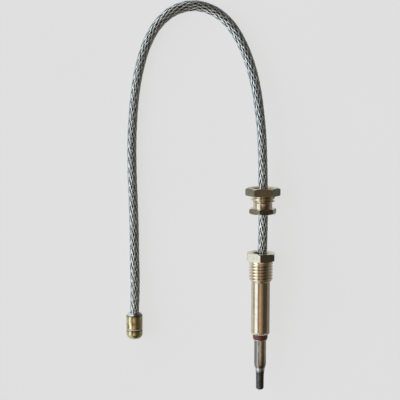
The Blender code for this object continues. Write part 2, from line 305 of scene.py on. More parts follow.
def make_braid():
    """The woven tube over the liner, whose near-black colour is painted shade in its gaps; its line and
    its length.
    """
    spacing = LAY / (2 * BUNDLES) / SAMPLES_PER_CROSSING
    line = smooth_line(LEAD_ROUTE, spacing)
    travelled = distances_along(line)
    line[:, 2] += LEAD_RADIUS * np.clip(swell_at(travelled) - 1, 0, None)
    points = []
    tones = []
    faces = []
    for tube, tube_tones in braid_tubes(line, travelled):
        faces += tube_faces(*tube_tones.shape, sum(len(part) for part in points))
        points.append(tube.reshape(-1, 3))
        tones.append(tube_tones.reshape(-1))
    mesh = bpy.data.meshes.new("braided_lead")
    mesh.from_pydata(np.concatenate(points) * MM, [], faces)
    mesh.update()
    tone = mesh.attributes.new("tone", "FLOAT", "POINT")
    tone.data.foreach_set("value", np.concatenate(tones).astype(np.float32))
    mesh.shade_smooth()
    return add_object("braided_lead", mesh), line, travelled[-1]


# ---------------------------------------------------------------- turned and hexagonal pieces


def softened(outline):
    """Points of an outline, with a curve of the rounding's size at each corner."""
    points = []
    for index, (radius, below, rounding) in enumerate(outline):
        here = np.array((radius, below))
        if rounding == 0:
            points.append(here)
            continue
        before = np.array(outline[index - 1][:2]) - here
        after = np.array(outline[(index + 1) % len(outline)][:2]) - here
        start = here + before * min(rounding / np.linalg.norm(before), CORNER_REACH)
        end = here + after * min(rounding / np.linalg.norm(after), CORNER_REACH)
        for step in range(CORNER_STEPS + 1):
            t = step / CORNER_STEPS
            points.append((1 - t)**2 * start + 2 * t * (1 - t) * here + t**2 * end)
    return points


def column_mesh(name, angles, outlines):
    """A mesh of one outline for each angle about its Y axis, closed unless it starts on that axis."""
    columns = np.array([softened(outline) for outline in outlines])
    radii = columns[..., 0]
    turns = np.radians(angles)[:, None]
    points = np.stack((radii * np.sin(turns), -columns[..., 1], radii * np.cos(turns)), axis=-1)
    count = points.shape[1]
    closed = radii[0, 0] > 0
    faces = []
    for column in range(len(angles)):
        here = column * count
        there = (column + 1) % len(angles) * count
        for row in range(count if closed else count - 1):
            after = (row + 1) % count
            faces.append((here + row, here + after, there + after, there + row))
    mesh = bpy.data.meshes.new(name)
    mesh.from_pydata(points.reshape(-1, 3) * MM, [], faces)
    shape = bmesh.new()
    shape.from_mesh(mesh)
    bmesh.ops.remove_doubles(shape, verts=shape.verts, dist=MERGE_DISTANCE * MM)
    bmesh.ops.recalc_face_normals(shape, faces=shape.faces)
    shape.to_mesh(mesh)
    shape.free()
    mesh.shade_smooth()
    return mesh


def column_piece(name, axis, angles, outline_at, material, node, body=PROBE_BODY):
    """A piece from one outline for each angle about its axis, which stands for a CAD node."""
    x, z, top = axis
    piece = add_object(name, column_mesh(name, angles, [outline_at(angle) for angle in angles]))
    piece.location = Vector((x, top, z)) * MM
    piece.modifiers.new("even_normals", "WEIGHTED_NORMAL")
    finish_piece(piece, material, node, body)
    return piece


def round_angles():
    return [360 * column / ROUND_COLUMNS for column in range(ROUND_COLUMNS)]


def round_piece(name, axis, outline, material, node):
    """A piece of the probe or its lead, with the same outline all round."""
    return column_piece(name, axis, round_angles(), lambda angle: outline, material, node)


def finish_piece(piece, material, node, body=PROBE_BODY):
    """The piece takes the material, rides on the body and stands for its CAD node, which is hidden."""
    piece.data.materials.append(material)
    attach(piece, body)
    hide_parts(node)


def add_object(name, data):
    made = bpy.data.objects.new(name, data)
    bpy.context.scene.collection.objects.link(made)
    return made


def probe_axis(node):
    """The probe's own axis, with the y of that node's top."""
    return PROBE_X, AXIS_Z, node_axis(node)[2]


def corner_arc(flats):
    """For a hexagon's rounded corners: the middle of their arc, and half its angle in degrees."""
    middle = (flats / 2 - HEX_CORNER_ROUNDING) / math.cos(math.radians(30))
    across = HEX_CORNER_ROUNDING * math.sin(math.radians(30))
    along = middle + HEX_CORNER_ROUNDING * math.cos(math.radians(30))
    return middle, math.degrees(math.atan2(across, along))


def hexagon_angles(flats, turn):
    """Angles of the mesh columns of a hexagon, close together at its corners."""
    half = corner_arc(flats)[1]
    sector = [half * share for share in (-1, -0.5, 0, 0.5)]
    sector += [half + (60 - 2 * half) * step / (FLAT_COLUMNS + 1) for step in range(FLAT_COLUMNS + 1)]
    return [turn + 60 * side + angle for side in range(6) for angle in sector]


def hexagon_radius(angle, flats, turn):
    """Distance from a hexagon's axis to its flats and rounded corners, at that angle."""
    off_corner = (angle - turn + 30) % 60 - 30
    middle, half = corner_arc(flats)
    if abs(off_corner) < half:
        across = middle * math.sin(math.radians(off_corner))
        along = middle * math.cos(math.radians(off_corner))
        return along + math.sqrt(HEX_CORNER_ROUNDING**2 - across**2)
    return flats / 2 / math.cos(math.radians(30 - abs(off_corner)))


def ease(value, start, end):
    """A smooth step from 0 at the start to 1 at the end."""
    share = min(max((value - start) / (end - start), 0), 1)
    return share * share * (3 - 2 * share)


def quarter_round(radius, below, width, height, steps):
    """Outline points of a quarter of an ellipse, from its side almost to its end."""
    turns = [math.pi / 2 * step / steps for step in range(steps)]
    return [(radius + width * math.cos(turn), below + height * math.sin(turn), 0) for turn in turns]


# Where a thread's ridge rises and where it is full, as shares of the way from groove to crest
RIDGE_FOOT = 0.16
RIDGE_TOP = 0.66
CHAMFER_SLOPE = math.tan(math.radians(30))


def thread_radius(below, angle, pitch, first_crest, root, crest):
    """Radius of a helical thread at that distance below the piece's top and at that angle."""
    turns = (below - first_crest) / pitch + angle / 360
    ridge = ease(abs(2 * (turns % 1) - 1), RIDGE_FOOT, RIDGE_TOP)
    return root + (crest - root) * ridge


# The probe's body, from its head down. An END or a CREST is a distance below its top
HEAD_FLATS = 9.0
HEAD_TURN = -6.0
HEAD_THICKNESS = 2.6
HEAD_CHAMFER_RADIUS = 4.6
COLLAR_RADIUS = 3.98
COLLAR_END = 3.15
THREAD_RADIUS = 3.96
THREAD_ROOT = 3.38
THREAD_PITCH = 1.0
FIRST_CREST = 3.67
THREAD_RUN_IN = 0.5
THREAD_END = 9.6
THREAD_END_STEP = 0.12
THREAD_END_SLOPE = 0.9
BODY_RADIUS = 3.1
BODY_END = 27.5
BODY_CHAMFER = 0.4
LEAD_BORE = 2.5
LEAD_BORE_DEPTH = 9.4
LEAD_BORE_CHAMFER = 0.25
LEAD_BORE_CONE = 0.3  # length of the step from the lead's bore to the tube's
TUBE_BORE = 2.05


def head_outline(angle):
    """The body's bore, hexagon head and collar."""
    corner = hexagon_radius(angle, HEAD_FLATS, HEAD_TURN)
    chamfer = (corner - HEAD_CHAMFER_RADIUS) * CHAMFER_SLOPE
    return [
        (TUBE_BORE, LEAD_BORE_DEPTH + LEAD_BORE_CONE, EDGE),
        (LEAD_BORE, LEAD_BORE_DEPTH, EDGE),
        (LEAD_BORE, LEAD_BORE_CHAMFER, EDGE),
        (LEAD_BORE + LEAD_BORE_CHAMFER, 0, FLAT_EDGE),
        (HEAD_CHAMFER_RADIUS, 0, EDGE),
        (corner, chamfer, FLAT_EDGE),
        (corner, HEAD_THICKNESS - chamfer, FLAT_EDGE),
        (HEAD_CHAMFER_RADIUS, HEAD_THICKNESS, EDGE),
        (COLLAR_RADIUS, HEAD_THICKNESS, FLAT_EDGE),
    ]


def probe_body_outline(angle):
    """The head, then the thread, which grows out of the collar, and the plain cylinder."""
    outline = head_outline(angle)
    rows = round((THREAD_END - COLLAR_END) / THREAD_PITCH * ROWS_PER_PITCH)
    for row in range(rows + 1):
        below = COLLAR_END + row * THREAD_PITCH / ROWS_PER_PITCH
        radius = thread_radius(below, angle, THREAD_PITCH, FIRST_CREST, THREAD_ROOT, THREAD_RADIUS)
        cut = ease(below, COLLAR_END, COLLAR_END + THREAD_RUN_IN)
        radius = COLLAR_RADIUS + (radius - COLLAR_RADIUS) * cut
        last = BODY_RADIUS + THREAD_END_STEP + THREAD_END_SLOPE * (THREAD_END - below)
        outline.append((min(radius, last), below, 0))
    outline += [
        (BODY_RADIUS, THREAD_END + 0.06, 0.04),
        (BODY_RADIUS, BODY_END - BODY_CHAMFER, 0.12),
        (BODY_RADIUS - BODY_CHAMFER, BODY_END, 0.12),
        (TUBE_BORE, BODY_END, 0.04),
    ]
    return outline


def make_probe_body(material):
    angles = hexagon_angles(HEAD_FLATS, HEAD_TURN)
    column_piece("brass_body", node_axis("probe_body"), angles, probe_body_outline, material,
                 "probe_body")


# The tube and the ring and braze round its top
TUBE_RADIUS = 2.0
TUBE_WALL = 0.4
TUBE_TAPER = 1.2
TUBE_END_RADIUS = 1.75
TUBE_LIP = 0.3
TIP_LAP = 0.6  # how far the tip's cone laps up over the CAD tube's end
RING_BORE = TUBE_RADIUS + 0.05
RING_RADIUS = 2.48
BRAZE_WIDTH = 0.27


def make_ring(material):
    height = node_length("copper_ring")
    round_piece("oxidised_ring", probe_axis("copper_ring"), [
        (RING_BORE, 0, FINE_EDGE),
        (RING_RADIUS - 0.06, 0, 0.1),
        (RING_RADIUS, 0.25, 0.15),
        (RING_RADIUS, height - 0.3, 0.2),
        (RING_RADIUS - 0.24, height, 0.15),
        (RING_BORE, height, FINE_EDGE),
    ], material, "copper_ring")


def make_braze(material):
    height = node_length("braze_fillet")
    round_piece("braze_line", probe_axis("braze_fillet"), [
        (RING_BORE, 0, 0.02),
        (RING_BORE + BRAZE_WIDTH, 0, 0.05),
        (RING_BORE + BRAZE_WIDTH - 0.07, 0.18, 0.08),
        (RING_BORE + 0.02, height, 0.02),
        (RING_BORE, height, 0.01),
    ], material, "braze_fillet")


def make_tube(material):
    length = node_length("sheath_tube") - TIP_LAP
    bore = TUBE_RADIUS - TUBE_WALL
    round_piece("steel_sheath", probe_axis("sheath_tube"), [
        (bore, 0, EDGE),
        (TUBE_RADIUS, 0, FLAT_EDGE),
        (TUBE_RADIUS, length - TUBE_TAPER, 0.35),
        (TUBE_END_RADIUS + 0.08, length - TUBE_LIP, 0.2),
        (TUBE_END_RADIUS, length, 0.1),
        (TUBE_END_RADIUS - TUBE_WALL, length, 0.04),
        (bore, length - TUBE_TAPER, 0.5),
    ], material, "sheath_tube")


# The tip, whose spigot is inside the tube
TIP_RADIUS = 1.3
TIP_SHOULDER = 1.67  # radius of the cone's wide end
TIP_CONE = 2.6
TIP_DOME = 0.8
TIP_DOME_STEPS = 12
SPIGOT_RADIUS = 1.28
SPIGOT_LENGTH = 3.25


def make_tip(material):
    """A spigot inside the tube, and below it a short cone and a domed rod."""
    length = node_length("junction_tip")
    shoulder = SPIGOT_LENGTH - TIP_LAP
    dome = length - TIP_DOME
    outline = [
        (0, 0, 0),
        (SPIGOT_RADIUS, 0, EDGE),
        (SPIGOT_RADIUS, shoulder, FINE_EDGE),
        (TIP_SHOULDER, shoulder, 0.1),
        (TIP_SHOULDER - 0.08, shoulder + 0.4, 0.2),
        (TIP_RADIUS + 0.02, shoulder + TIP_CONE, 0.8),
        (TIP_RADIUS, dome - 0.1, 0),
    ]
    outline += quarter_round(0, dome, TIP_RADIUS, TIP_DOME, TIP_DOME_STEPS)[1:]
    outline.append((0, length, 0))
    round_piece("fired_tip", probe_axis("junction_tip"), outline, material, "junction_tip")


# The nut with the male thread, from its thread down to its hexagon
UNION_FLATS = 8.0
UNION_TURN = -18.0
UNION_HEX_START = 6.1
UNION_CHAMFER_RADIUS = 4.12
UNION_NECK = 3.12
UNION_THREAD_RADIUS = 3.96
UNION_THREAD_ROOT = 3.33
UNION_PITCH = 1.25
UNION_FIRST_CREST = 0.36
UNION_THREAD_END = 4.35
UNION_RUN_OUT = 0.7
UNION_LEAD_IN_SLOPE = 0.9
UNION_BORE = 1.85
UNION_BORE_CHAMFER = 0.2


def union_outline(angle):
    """A bore, a male thread that fades into the neck, and the hexagon."""
    length = node_length("union_nut")
    corner = hexagon_radius(angle, UNION_FLATS, UNION_TURN)
    chamfer = (corner - UNION_CHAMFER_RADIUS) * CHAMFER_SLOPE
    outline = [
        (UNION_BORE, length - UNION_BORE_CHAMFER, 0.04),
        (UNION_BORE, UNION_BORE_CHAMFER, EDGE),
        (UNION_BORE + UNION_BORE_CHAMFER, 0, FLAT_EDGE),
        (UNION_THREAD_ROOT - 0.2, 0, EDGE),
    ]
    rows = round(UNION_THREAD_END / UNION_PITCH * ROWS_PER_PITCH)
    for row in range(1, rows + 1):
        below = row * UNION_PITCH / ROWS_PER_PITCH
        radius = thread_radius(below, angle, UNION_PITCH, UNION_FIRST_CREST,
                               UNION_THREAD_ROOT, UNION_THREAD_RADIUS)
        fade = ease(below, UNION_THREAD_END - UNION_RUN_OUT, UNION_THREAD_END)
        radius = radius + (UNION_NECK - radius) * fade
        first = UNION_THREAD_ROOT + UNION_LEAD_IN_SLOPE * below
        outline.append((min(radius, first), below, 0))
    outline += [
        (UNION_NECK, UNION_HEX_START, 0.08),
        (UNION_CHAMFER_RADIUS, UNION_HEX_START, EDGE),
        (corner, UNION_HEX_START + chamfer, FLAT_EDGE),
        (corner, length - chamfer, FLAT_EDGE),
        (UNION_CHAMFER_RADIUS, length, EDGE),
        (UNION_BORE + UNION_BORE_CHAMFER, length, FLAT_EDGE),
    ]
    return outline


def make_union_nut(material):
    angles = hexagon_angles(UNION_FLATS, UNION_TURN)
    return column_piece("male_union_nut", node_axis("union_nut"), angles, union_outline, material,
                        "union_nut", "union_nut")


# The nut that is screwed on it
LOCK_FLATS = 10.0
LOCK_TURN = -33.0
LOCK_CHAMFER_RADIUS = 5.02
LOCK_FOOT_RADIUS = 5.4
LOCK_LEAST_FOOT = 0.02  # the least that the lower chamfer cuts off, where the hexagon is narrow
LOCK_MOUTH = 4.36
LOCK_LIP = 3.66
LOCK_LIP_START = 0.36
LOCK_LIP_END = 0.56
LOCK_CLEARANCE = 4.1


def lock_outline(angle):
    """A hexagon with a lip in its bore and a clearance bore for the union nut's thread."""
    length = node_length("lock_nut")
    corner = hexagon_radius(angle, LOCK_FLATS, LOCK_TURN)
    chamfer = (corner - LOCK_CHAMFER_RADIUS) * CHAMFER_SLOPE
    foot_radius = min(corner - LOCK_LEAST_FOOT, LOCK_FOOT_RADIUS)
    foot = (corner - foot_radius) * CHAMFER_SLOPE
    return [
        (LOCK_CLEARANCE, LOCK_LIP_END + 0.06, EDGE),
        (LOCK_LIP, LOCK_LIP_END, EDGE),
        (LOCK_LIP, LOCK_LIP_START, EDGE),
        (LOCK_MOUTH, 0, EDGE),
        (LOCK_CHAMFER_RADIUS, 0, EDGE),
        (corner, chamfer, FLAT_EDGE),
        (corner, length - foot, FLAT_EDGE),
        (foot_radius, length, EDGE),
        (LOCK_CLEARANCE + 0.1, length, EDGE),
        (LOCK_CLEARANCE, length - 0.15, EDGE),
    ]


def make_lock_nut(material):
    angles = hexagon_angles(LOCK_FLATS, LOCK_TURN)
    return column_piece("hexagon_lock_nut", node_axis("lock_nut"), angles, lock_outline, material,
                        "lock_nut", "lock_nut")


# The bullet contact: solder, sleeve, washer and button
CONTACT_RADIUS = 2.73
CONTACT_FLAT = 1.1
SLEEVE_BORE = 1.8
WASHER_RADIUS = CONTACT_RADIUS - 0.06
BUTTON_STRAIGHT = 1.2
BUTTON_STEPS = 14
CORE_CLEARANCE = 0.5
CORE_DEPTH = 1.2
CONE_BORE = 1.46
CONE_TOP = 1.68
CONE_START = 0.5


def solder_outline(angle):
    """A cone of solder that ran a little unevenly round the lead."""
    turn = math.radians(angle)
    height = node_length("solder_cone")
    lump = 0.05 * math.sin(3 * turn + 0.6) + 0.035 * math.sin(7 * turn + 2.1)
    rim = 0.09 * math.sin(2 * turn + 1.0) + 0.06 * math.sin(5 * turn)
    return [
        (CONE_BORE, height, FINE_EDGE),
        (CONE_BORE, CONE_START + rim, FINE_EDGE),
        (CONE_TOP, CONE_START + rim, 0.12),
        (CONE_TOP + 0.3 + lump, 0.78 + rim / 2, 0.25),
        (CONTACT_RADIUS - 0.38 + lump, height - 0.42, 0.3),
        (CONTACT_RADIUS - 0.16, height, FLAT_EDGE),
    ]


def make_solder(material):
    return column_piece("solder_collar", node_axis("solder_cone"), round_angles(), solder_outline,
                        material, "solder_cone")


def make_contact_sleeve(material):
    length = node_length("contact_sleeve")
    return round_piece("bullet_sleeve", node_axis("contact_sleeve"), [
        (SLEEVE_BORE, 0, 0.04),
        (CONTACT_RADIUS - 0.12, 0, 0.06),
        (CONTACT_RADIUS, 0.14, 0.08),
        (CONTACT_RADIUS, length - 0.14, 0.08),
        (CONTACT_RADIUS - 0.14, length, 0.06),
        (SLEEVE_BORE, length, 0.04),
    ], material, "contact_sleeve")


def make_washer(material):
    length = node_length("insulating_washer")
    return round_piece("pale_washer", node_axis("insulating_washer"), [
        (CORE_CLEARANCE, 0, FINE_EDGE),
        (WASHER_RADIUS, 0, EDGE),
        (WASHER_RADIUS, length, EDGE),
        (CORE_CLEARANCE, length, FINE_EDGE),
    ], material, "insulating_washer")


def make_button(material):
    """The contact's rounded end, with a flat face and a blind bore for the core wire."""
    length = node_length("contact_button")
    outline = [
        (0, CORE_DEPTH, 0),
        (CORE_CLEARANCE, CORE_DEPTH, 0.04),
        (CORE_CLEARANCE, 0, 0.04),
        (CONTACT_RADIUS, 0, 0.1),
        (CONTACT_RADIUS, BUTTON_STRAIGHT - 0.1, 0),
    ]
    outline += quarter_round(CONTACT_FLAT, BUTTON_STRAIGHT, CONTACT_RADIUS - CONTACT_FLAT,
                             length - BUTTON_STRAIGHT, BUTTON_STEPS)
    outline.append((CONTACT_FLAT - 0.05, length, 0.05))
    outline.append((0, length, 0))
    return round_piece("bullet_button", node_axis("contact_button"), outline, material,
                       "contact_button")


# ---------------------------------------------------------------- materials


def add_node(tree, kind, inputs=None, **settings):
    """A shader node whose inputs, by name or number, are linked to a socket or set to a value."""
    node = tree.nodes.new("ShaderNode" + kind)
    for key, value in settings.items():
        setattr(node, key, value)
    for key, value in (inputs or {}).items():
        if isinstance(value, bpy.types.NodeSocket):
            tree.links.new(value, node.inputs[key])
        else:
            node.inputs[key].default_value = value
    return node


def as_colour(value):
    return (*value, 1.0) if isinstance(value, tuple) else value


class Paint:
    """A procedural material that is being put together, with its place in millimetres."""

    def __init__(self, name, **values):
        self.material = bpy.data.materials.new(name)
        self.material.use_nodes = True
        self.tree = self.material.node_tree
        self.shader = self.tree.nodes["Principled BSDF"]
        for key, value in values.items():
            self.shader.inputs[key.replace("_", " ").title()].default_value = value
        place = self.add("TexCoord").outputs["Object"]
        scaled = self.add("VectorMath", {0: place, "Scale": 1 / MM}, operation="SCALE")
        self.place = scaled.outputs[0]

    def add(self, kind, inputs=None, **settings):
        return add_node(self.tree, kind, inputs, **settings)

    def noise(self, size, stretch=(1, 1, 1), detail=3.0):
        """Noise whose blobs are about that size, and longer by stretch along each axis."""
        scale = [1 / (size * share) for share in stretch]
        place = self.add("VectorMath", {0: self.place, 1: scale}, operation="MULTIPLY")
        return self.add("TexNoise", {"Vector": place.outputs[0], "Scale": 1.0, "Detail": detail}
                        ).outputs["Fac"]


    def radius(self):
        """Distance from the piece's own axis."""
        flat = self.add("VectorMath", {0: self.place, 1: (1, 0, 1)}, operation="MULTIPLY")
        return self.add("VectorMath", {0: flat.outputs[0]}, operation="LENGTH").outputs["Value"]

    def sideways(self):
        """Distance towards +X from the piece's own axis."""
        return self.add("SeparateXYZ", {0: self.place}).outputs["X"]

    def below(self):
        """Distance below the piece's top."""
        y = self.add("SeparateXYZ", {0: self.place}).outputs["Y"]
        return self.math("MULTIPLY", y, -1.0)

    def flat_share(self, flats):
        """One on the flats of a hexagon that wide, and 0 on its turned faces and chamfers."""
        normal = self.add("TexCoord").outputs["Normal"]
        along = self.math("ABSOLUTE", self.add("SeparateXYZ", {0: normal}).outputs["Y"], 0.0)
        outer = self.spread(self.radius(), flats / 2 - 0.06, flats / 2 - 0.01)
        return self.math("MULTIPLY", outer, self.spread(along, 0.35, 0.08))

    def math(self, operation, first, second):
        return self.add("Math", {0: first, 1: second}, operation=operation).outputs[0]

    def spread(self, value, start, end, low=0.0, high=1.0):
        """The value's way from start to end, turned into one from low to high."""
        inputs = {"Value": value, "From Min": start, "From Max": end, "To Min": low, "To Max": high}
        return self.add("MapRange", inputs).outputs["Result"]

    def mix(self, amount, first, second):
        inputs = {0: amount, 6: as_colour(first), 7: as_colour(second)}
        return self.add("Mix", inputs, data_type="RGBA").outputs[2]

    def bump(self, height, size, normal=None):
        """Relief of that many millimetres."""
        inputs = {"Height": height, "Distance": size * MM, "Strength": 1.0}
        if normal:
            inputs["Normal"] = normal
        return self.add("Bump", inputs).outputs[0]

    def use(self, **sockets):
        for key, value in sockets.items():
            self.tree.links.new(value, self.shader.inputs[key.replace("_", " ").title()])
        return self.material


PATINA = (0.20, 0.195, 0.14)
STAIN = (0.30, 0.22, 0.10)
HEAT_STAIN = (0.16, 0.12, 0.07)
FLOWED_BRAZE = (0.96, 0.86, 0.66)


def brass_colour(paint, patches, speckle, bright, worn, grime_and_root_shade, stain):
    """Bright brass with worn patches and rings, specks of grime and as much stain as is given."""
    wide_rings = paint.noise(0.5, (30, 1, 30), 2.0)
    stains = paint.noise(1.3, (1, 1.6, 1), 4.0)
    colour = paint.mix(paint.spread(patches, 0.4, 0.75, 0.0, 0.6), bright, worn)
    colour = paint.mix(paint.spread(wide_rings, 0.5, 0.75, 0.0, 0.4), colour, worn)
    colour = paint.mix(paint.spread(speckle, 0.62, 0.8, 0.0, 0.35), colour, grime_and_root_shade)
    return paint.mix(paint.spread(stains, 0.5, 0.66, 0.0, stain), colour, STAIN)


def turned_brass(name, bright, worn, grime_and_root_shade, roughness, stain, thread=None, flats=None, patina=0.0,
                 heated=0.0, brazed=None):
    """Brass with the fine rings of a lathe, patchy wear and stains.

    Painted shade, in the colour of the grime specks, darkens its thread towards the roots; the thread
    is given as (root, crest) radii. The flats of its hexagon, given as the width across them, are not
    turned and keep the patina of the bar, up to their worn edges. Heat has darkened the length below
    its top that is called heated. Braze covers what is further below its top than brazed.
    """
    paint = Paint(name, metallic=1.0)
    rings = paint.noise(0.05, (40, 1, 40), 2.0)
    patches = paint.noise(1.8, detail=4.0)
    speckle = paint.noise(0.25, detail=2.0)
    colour = brass_colour(paint, patches, speckle, bright, worn, grime_and_root_shade, stain)
    rough = paint.spread(patches, 0.3, 0.75, roughness - 0.02, roughness + 0.06)
    normal = paint.bump(rings, 0.004)
    normal = paint.bump(speckle, 0.003, normal)
    normal = paint.bump(patches, 0.02, normal)
    # painted shade: the thread darkens towards its roots, in the colour of the grime specks
    if thread:
        depth = paint.spread(paint.radius(), thread[1], thread[0])
        colour = paint.mix(paint.math("MULTIPLY", depth, 0.38), colour, grime_and_root_shade)
    if flats:
        skin = paint.math("MULTIPLY", paint.flat_share(flats), patina)
        skin = paint.math("MULTIPLY", skin, paint.spread(patches, 0.3, 0.6, 0.85, 1.0))
        colour = paint.mix(skin, colour, PATINA)
        rough = paint.math("ADD", rough, paint.math("MULTIPLY", skin, 0.12))
    if heated:
        tinted = paint.spread(paint.math("ADD", paint.below(), patches), 0.5 + heated, 0.5, 0.0, 0.8)
        colour = paint.mix(tinted, colour, HEAT_STAIN)
    if brazed:
        edge = paint.spread(paint.below(), brazed, brazed + 0.4)
        colour = paint.mix(paint.math("MULTIPLY", edge, 0.8), colour, FLOWED_BRAZE)
        normal = paint.bump(paint.math("MULTIPLY", edge, paint.noise(0.4, detail=1.0)), 0.7, normal)
    return paint.use(base_color=colour, roughness=rough, normal=normal)


def body_brass():
    return turned_brass(
        "body_brass", bright=(0.89, 0.82, 0.66), worn=(0.79, 0.69, 0.52), grime_and_root_shade=(0.30, 0.23, 0.15),
        roughness=0.08, stain=0.12, thread=(THREAD_ROOT, THREAD_RADIUS - 0.1), flats=HEAD_FLATS,
        patina=0.56, brazed=BODY_END - 1.0,
    )


def union_brass():
    return turned_brass(
        "union_brass", bright=(0.95, 0.88, 0.72), worn=(0.80, 0.67, 0.47), grime_and_root_shade=(0.22, 0.16, 0.09),
        roughness=0.10, stain=0.3, thread=(UNION_THREAD_ROOT, UNION_THREAD_RADIUS),
        flats=UNION_FLATS, patina=0.83,
    )


def lock_brass():
    return turned_brass(
        "lock_brass", bright=(0.70, 0.63, 0.46), worn=(0.56, 0.46, 0.31), grime_and_root_shade=(0.22, 0.16, 0.09),
        roughness=0.14, stain=0.3, flats=LOCK_FLATS, patina=1.0,
    )


def contact_brass():
    return turned_brass(
        "contact_brass", bright=(0.72, 0.69, 0.44), worn=(0.50, 0.40, 0.20),
        grime_and_root_shade=(0.20, 0.13, 0.06), roughness=0.12, stain=0.95, heated=0.7,
    )


BRIGHT_STEEL = (0.68, 0.66, 0.63)
DULL_STEEL = (0.55, 0.52, 0.49)
BROWN_STREAK = (0.42, 0.33, 0.27)
PAINTED_SHADE_STEEL = (0.24, 0.255, 0.245)
HEAT_TINT = (0.30, 0.24, 0.20)
HEAT_TINT_SPAN = (24.5, 29.0)  # distances below the tube's top


def sheath_steel():
    """Drawn steel tube, with painted shade on its -X side and a brown heat tint at its lower end."""
    paint = Paint("sheath_steel", metallic=1.0)
    streaks = paint.noise(0.6, (1, 12, 1), 3.0)
    patches = paint.noise(1.6, detail=4.0)
    scratches = paint.noise(0.06, (30, 1, 30), 2.0)
    colour = paint.mix(paint.spread(patches, 0.35, 0.7), BRIGHT_STEEL, DULL_STEEL)
    colour = paint.mix(paint.spread(streaks, 0.55, 0.75, 0.0, 0.5), colour, BROWN_STREAK)
    # painted shade on the -X side of the tube
    side = paint.math("ADD", paint.sideways(), paint.spread(patches, 0.2, 0.8, -0.5, 0.5))
    colour = paint.mix(paint.spread(side, -0.2, -0.9), colour, PAINTED_SHADE_STEEL)
    below = paint.math("ADD", paint.below(), paint.spread(patches, 0, 1, -1.5, 1.5))
    colour = paint.mix(paint.spread(below, *HEAT_TINT_SPAN), colour, HEAT_TINT)
    rough = paint.spread(patches, 0.3, 0.75, 0.11, 0.2)
    return paint.use(base_color=colour, roughness=rough, normal=paint.bump(scratches, 0.003))


BLACK_SCALE = (0.045, 0.045, 0.045)
GREY_SCALE = (0.12, 0.125, 0.13)
BROWN_SCALE = (0.17, 0.14, 0.12)
PAINTED_HIGHLIGHT_GREY = (0.60, 0.62, 0.65)
PAINTED_HIGHLIGHT_SPAN = (4.3, 3.1)  # distances below the tip's top at which the grey ends and is full


def fired_alloy():
    """The hot junction's dark, glossy scale, with a pale grey painted highlight round the top of its
    cone, next to the tube.
    """
    paint = Paint("fired_alloy", metallic=0.85)
    patches = paint.noise(1.1, detail=4.0)
    grain = paint.noise(0.12, detail=3.0)
    streaks = paint.noise(0.3, (1, 8, 1), 2.0)
    colour = paint.mix(paint.spread(patches, 0.35, 0.7), GREY_SCALE, BLACK_SCALE)
    colour = paint.mix(paint.spread(streaks, 0.6, 0.8, 0.0, 0.6), colour, BROWN_SCALE)
    # painted highlight: a pale grey band round the top of the cone
    below = paint.math("ADD", paint.below(), paint.spread(patches, 0, 1, -0.9, 0.9))
    colour = paint.mix(paint.spread(below, *PAINTED_HIGHLIGHT_SPAN, 0.0, 0.95), colour, PAINTED_HIGHLIGHT_GREY)
    rough = paint.spread(grain, 0.3, 0.8, 0.08, 0.2)
    return paint.use(base_color=colour, roughness=rough, normal=paint.bump(grain, 0.008))


RED_OXIDE = (0.24, 0.085, 0.075)
DARK_OXIDE = (0.13, 0.05, 0.045)
PALE_OXIDE = (0.30, 0.14, 0.11)


def oxidised_copper():
    """Patchy dark red oxide with paler specks."""
    paint = Paint("oxidised_copper", metallic=0.55)
    patches = paint.noise(0.8, detail=4.0)
    grain = paint.noise(0.1, detail=3.0)
    colour = paint.mix(paint.spread(patches, 0.35, 0.7), RED_OXIDE, DARK_OXIDE)
    colour = paint.mix(paint.spread(grain, 0.6, 0.8, 0.0, 0.6), colour, PALE_OXIDE)
    rough = paint.spread(grain, 0.3, 0.8, 0.35, 0.55)
    return paint.use(base_color=colour, roughness=rough, normal=paint.bump(grain, 0.012))


PAINTED_SHADE_GREY = (0.16, 0.16, 0.145)


def soft_metal(name, bright, dull, roughness, relief, painted_shade=0.0):
    """Solder or braze that has flowed: blobs, pits and a satin skin, with painted shade on its +X side.
    """
    paint = Paint(name, metallic=1.0)
    blobs = paint.noise(0.55, detail=3.0)
    pits = paint.noise(0.12, detail=3.0)
    colour = paint.mix(paint.spread(blobs, 0.35, 0.7), bright, dull)
    # painted shade on the +X side, as strong as the given amount
    side = paint.math("ADD", paint.sideways(), paint.spread(blobs, 0.2, 0.8, -0.6, 0.6))
    colour = paint.mix(paint.spread(side, -0.2, 0.8, 0.0, painted_shade), colour, PAINTED_SHADE_GREY)
    rough = paint.spread(pits, 0.3, 0.8, roughness - 0.08, roughness + 0.12)
    normal = paint.bump(blobs, relief)
    normal = paint.bump(pits, relief / 4, normal)
    return paint.use(base_color=colour, roughness=rough, normal=normal)


def shaded_solder():
    return soft_metal("solder", bright=(0.92, 0.94, 0.97), dull=(0.52, 0.54, 0.56),
                      roughness=0.18, relief=0.16, painted_shade=0.9)


def braze():
    return soft_metal("braze", bright=(0.90, 0.80, 0.62), dull=(0.62, 0.50, 0.36),
                      roughness=0.3, relief=0.02)


BRIGHT_TIN = (0.94, 1.0, 0.995)
DULL_TIN = (0.48, 0.53, 0.52)
# The next colour is painted shade, which the wire takes where its tone falls in the dips and grooves
PAINTED_SHADE_TIN = (0.055, 0.06, 0.055)
TARNISHED_TIN = (0.50, 0.55, 0.53)
# The liner's near-black colour is painted shade in the braid's gaps
DARK_LINER = (0.012, 0.010, 0.009)


